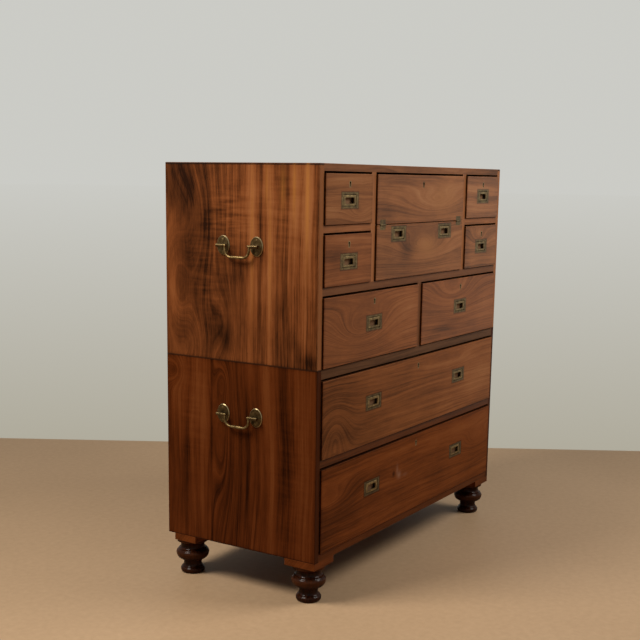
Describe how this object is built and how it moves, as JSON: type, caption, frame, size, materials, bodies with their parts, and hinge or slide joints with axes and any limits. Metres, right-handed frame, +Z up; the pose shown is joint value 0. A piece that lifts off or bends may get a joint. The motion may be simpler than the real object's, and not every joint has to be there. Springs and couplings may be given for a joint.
{
  "type": "campaign secretaire chest of drawers",
  "caption": "Two-part campaign chest on turned feet: drawers with flush swing handles, a secretaire drawer with a drop fall and drop carrying handles on its sides.",
  "frame": {"origin": "on the floor under the middle of the chest's overall box", "axes": "+Z up, drawers face -Y and open along -Y, +X to the right seen from the front"},
  "size_m": [1.0244, 0.4517, 1.0425],
  "materials": {
    "show_wood": "red-brown polished hardwood, worn",
    "lining_wood": "plain oiled drawer linings",
    "foot_wood": "near-black polished turning",
    "brass": "aged brass",
    "leather": "dull green hide"
  },
  "bodies": {
    "lower_carcase": {"lower_left_side": "show_wood", "lower_right_side": "show_wood", "lower_top_board": "show_wood", "lower_bottom_board": "show_wood", "lower_back_boards": "lining_wood", "lower_drawer_rail": "show_wood", "corner_blocks": "show_wood", "turned_feet": "foot_wood", "lower_carry_plates": "brass"},
    "upper_carcase": {"upper_left_side": "show_wood", "upper_right_side": "show_wood", "upper_top_board": "show_wood", "upper_bottom_board": "show_wood", "upper_back_boards": "lining_wood", "upper_mid_rail": "show_wood", "column_partitions": "show_wood", "small_drawer_rails": "show_wood", "half_drawer_partition": "show_wood", "upper_carry_plates": "brass"},
    "bottom_drawer_unit": {"bottom_drawer_front": "show_wood", "bottom_drawer_box": "lining_wood", "bottom_drawer_brass": "brass"},
    "bottom_drawer_bail_left_body": {"bottom_drawer_bail_left": "brass"},
    "bottom_drawer_bail_right_body": {"bottom_drawer_bail_right": "brass"},
    "long_drawer_unit": {"long_drawer_front": "show_wood", "long_drawer_box": "lining_wood", "long_drawer_brass": "brass"},
    "long_drawer_bail_left_body": {"long_drawer_bail_left": "brass"},
    "long_drawer_bail_right_body": {"long_drawer_bail_right": "brass"},
    "half_drawer_left_unit": {"half_drawer_left": "show_wood", "half_drawer_left_brass": "brass"},
    "half_drawer_left_bail_body": {"half_drawer_left_bail": "brass"},
    "half_drawer_right_unit": {"half_drawer_right": "show_wood", "half_drawer_right_brass": "brass"},
    "half_drawer_right_bail_body": {"half_drawer_right_bail": "brass"},
    "small_drawer_left_low_unit": {"small_drawer_left_low": "show_wood", "small_drawer_left_low_brass": "brass"},
    "small_drawer_left_low_bail_body": {"small_drawer_left_low_bail": "brass"},
    "small_drawer_left_top_unit": {"small_drawer_left_top": "show_wood", "small_drawer_left_top_brass": "brass"},
    "small_drawer_left_top_bail_body": {"small_drawer_left_top_bail": "brass"},
    "small_drawer_right_low_unit": {"small_drawer_right_low": "show_wood", "small_drawer_right_low_brass": "brass"},
    "small_drawer_right_low_bail_body": {"small_drawer_right_low_bail": "brass"},
    "small_drawer_right_top_unit": {"small_drawer_right_top": "show_wood", "small_drawer_right_top_brass": "brass"},
    "small_drawer_right_top_bail_body": {"small_drawer_right_top_bail": "brass"},
    "secretaire_unit": {"secretaire_front": "show_wood", "secretaire_box": "lining_wood", "secretaire_brass": "brass", "pigeonholes": "lining_wood"},
    "fall_unit": {"secretaire_fall": "show_wood", "fall_brass": "brass", "fall_leather": "leather"},
    "secretaire_drawer_bail_left_body": {"secretaire_drawer_bail_left": "brass"},
    "secretaire_drawer_bail_right_body": {"secretaire_drawer_bail_right": "brass"},
    "upper_carry_bail_left_body": {"upper_carry_bail_left": "brass"},
    "upper_carry_bail_right_body": {"upper_carry_bail_right": "brass"},
    "lower_carry_bail_left_body": {"lower_carry_bail_left": "brass"},
    "lower_carry_bail_right_body": {"lower_carry_bail_right": "brass"}
  },
  "joints": [
    {"name": "upper_lift", "type": "slide", "parent": "lower_carcase", "child": "upper_carcase", "axis": [0, 0, 1], "range_m": [0, 0.12]},
    {"name": "bottom_drawer_slide", "type": "slide", "parent": "lower_carcase", "child": "bottom_drawer_unit", "axis": [0, -1, 0], "range_m": [0, 0.33]},
    {"name": "bottom_drawer_bail_left_hinge", "type": "hinge", "parent": "bottom_drawer_unit", "child": "bottom_drawer_bail_left_body", "pos_m": [-0.2367, -0.22175, 0.2535], "axis": [-1, 0, 0], "range_deg": [0, 90]},
    {"name": "bottom_drawer_bail_right_hinge", "type": "hinge", "parent": "bottom_drawer_unit", "child": "bottom_drawer_bail_right_body", "pos_m": [0.2477, -0.22175, 0.2535], "axis": [-1, 0, 0], "range_deg": [0, 90]},
    {"name": "long_drawer_slide", "type": "slide", "parent": "lower_carcase", "child": "long_drawer_unit", "axis": [0, -1, 0], "range_m": [0, 0.33]},
    {"name": "long_drawer_bail_left_hinge", "type": "hinge", "parent": "long_drawer_unit", "child": "long_drawer_bail_left_body", "pos_m": [-0.2367, -0.22175, 0.47325], "axis": [-1, 0, 0], "range_deg": [0, 90]},
    {"name": "long_drawer_bail_right_hinge", "type": "hinge", "parent": "long_drawer_unit", "child": "long_drawer_bail_right_body", "pos_m": [0.2477, -0.22175, 0.47325], "axis": [-1, 0, 0], "range_deg": [0, 90]},
    {"name": "half_drawer_left_slide", "type": "slide", "parent": "upper_carcase", "child": "half_drawer_left_unit", "axis": [0, -1, 0], "range_m": [0, 0.33]},
    {"name": "half_drawer_left_bail_hinge", "type": "hinge", "parent": "half_drawer_left_unit", "child": "half_drawer_left_bail_body", "pos_m": [-0.2435, -0.22175, 0.6732], "axis": [-1, 0, 0], "range_deg": [0, 90]},
    {"name": "half_drawer_right_slide", "type": "slide", "parent": "upper_carcase", "child": "half_drawer_right_unit", "axis": [0, -1, 0], "range_m": [0, 0.33]},
    {"name": "half_drawer_right_bail_hinge", "type": "hinge", "parent": "half_drawer_right_unit", "child": "half_drawer_right_bail_body", "pos_m": [0.2435, -0.22175, 0.6722], "axis": [-1, 0, 0], "range_deg": [0, 90]},
    {"name": "small_drawer_left_low_slide", "type": "slide", "parent": "upper_carcase", "child": "small_drawer_left_low_unit", "axis": [0, -1, 0], "range_m": [0, 0.33]},
    {"name": "small_drawer_left_low_bail_hinge", "type": "hinge", "parent": "small_drawer_left_low_unit", "child": "small_drawer_left_low_bail_body", "pos_m": [-0.37, -0.22175, 0.8295], "axis": [-1, 0, 0], "range_deg": [0, 90]},
    {"name": "small_drawer_left_top_slide", "type": "slide", "parent": "upper_carcase", "child": "small_drawer_left_top_unit", "axis": [0, -1, 0], "range_m": [0, 0.33]},
    {"name": "small_drawer_left_top_bail_hinge", "type": "hinge", "parent": "small_drawer_left_top_unit", "child": "small_drawer_left_top_bail_body", "pos_m": [-0.37, -0.22175, 0.97075], "axis": [-1, 0, 0], "range_deg": [0, 90]},
    {"name": "small_drawer_right_low_slide", "type": "slide", "parent": "upper_carcase", "child": "small_drawer_right_low_unit", "axis": [0, -1, 0], "range_m": [0, 0.33]},
    {"name": "small_drawer_right_low_bail_hinge", "type": "hinge", "parent": "small_drawer_right_low_unit", "child": "small_drawer_right_low_bail_body", "pos_m": [0.37, -0.22175, 0.8345], "axis": [-1, 0, 0], "range_deg": [0, 90]},
    {"name": "small_drawer_right_top_slide", "type": "slide", "parent": "upper_carcase", "child": "small_drawer_right_top_unit", "axis": [0, -1, 0], "range_m": [0, 0.33]},
    {"name": "small_drawer_right_top_bail_hinge", "type": "hinge", "parent": "small_drawer_right_top_unit", "child": "small_drawer_right_top_bail_body", "pos_m": [0.37, -0.22175, 0.97625], "axis": [-1, 0, 0], "range_deg": [0, 90]},
    {"name": "secretaire_drawer_slide", "type": "slide", "parent": "upper_carcase", "child": "secretaire_unit", "axis": [0, -1, 0], "range_m": [0, 0.26]},
    {"name": "fall_hinge", "type": "hinge", "parent": "secretaire_unit", "child": "fall_unit", "pos_m": [0, -0.22365, 0.8985], "axis": [1, 0, 0], "range_deg": [0, 90]},
    {"name": "secretaire_drawer_bail_left_hinge", "type": "hinge", "parent": "secretaire_unit", "child": "secretaire_drawer_bail_left_body", "pos_m": [-0.1292, -0.22175, 0.886], "axis": [-1, 0, 0], "range_deg": [0, 90]},
    {"name": "secretaire_drawer_bail_right_hinge", "type": "hinge", "parent": "secretaire_unit", "child": "secretaire_drawer_bail_right_body", "pos_m": [0.1292, -0.22175, 0.886], "axis": [-1, 0, 0], "range_deg": [0, 90]},
    {"name": "upper_carry_bail_left_hinge", "type": "hinge", "parent": "upper_carcase", "child": "upper_carry_bail_left_body", "pos_m": [-0.508, 0.00085, 0.85], "axis": [0, 1, 0], "range_deg": [-12, 192]},
    {"name": "upper_carry_bail_right_hinge", "type": "hinge", "parent": "upper_carcase", "child": "upper_carry_bail_right_body", "pos_m": [0.508, 0.00085, 0.85], "axis": [0, -1, 0], "range_deg": [-12, 192]},
    {"name": "lower_carry_bail_left_hinge", "type": "hinge", "parent": "lower_carcase", "child": "lower_carry_bail_left_body", "pos_m": [-0.508, 0.00085, 0.4425], "axis": [0, 1, 0], "range_deg": [-12, 192]},
    {"name": "lower_carry_bail_right_hinge", "type": "hinge", "parent": "lower_carcase", "child": "lower_carry_bail_right_body", "pos_m": [0.508, 0.00085, 0.4425], "axis": [0, -1, 0], "range_deg": [-12, 192]}
  ]
}
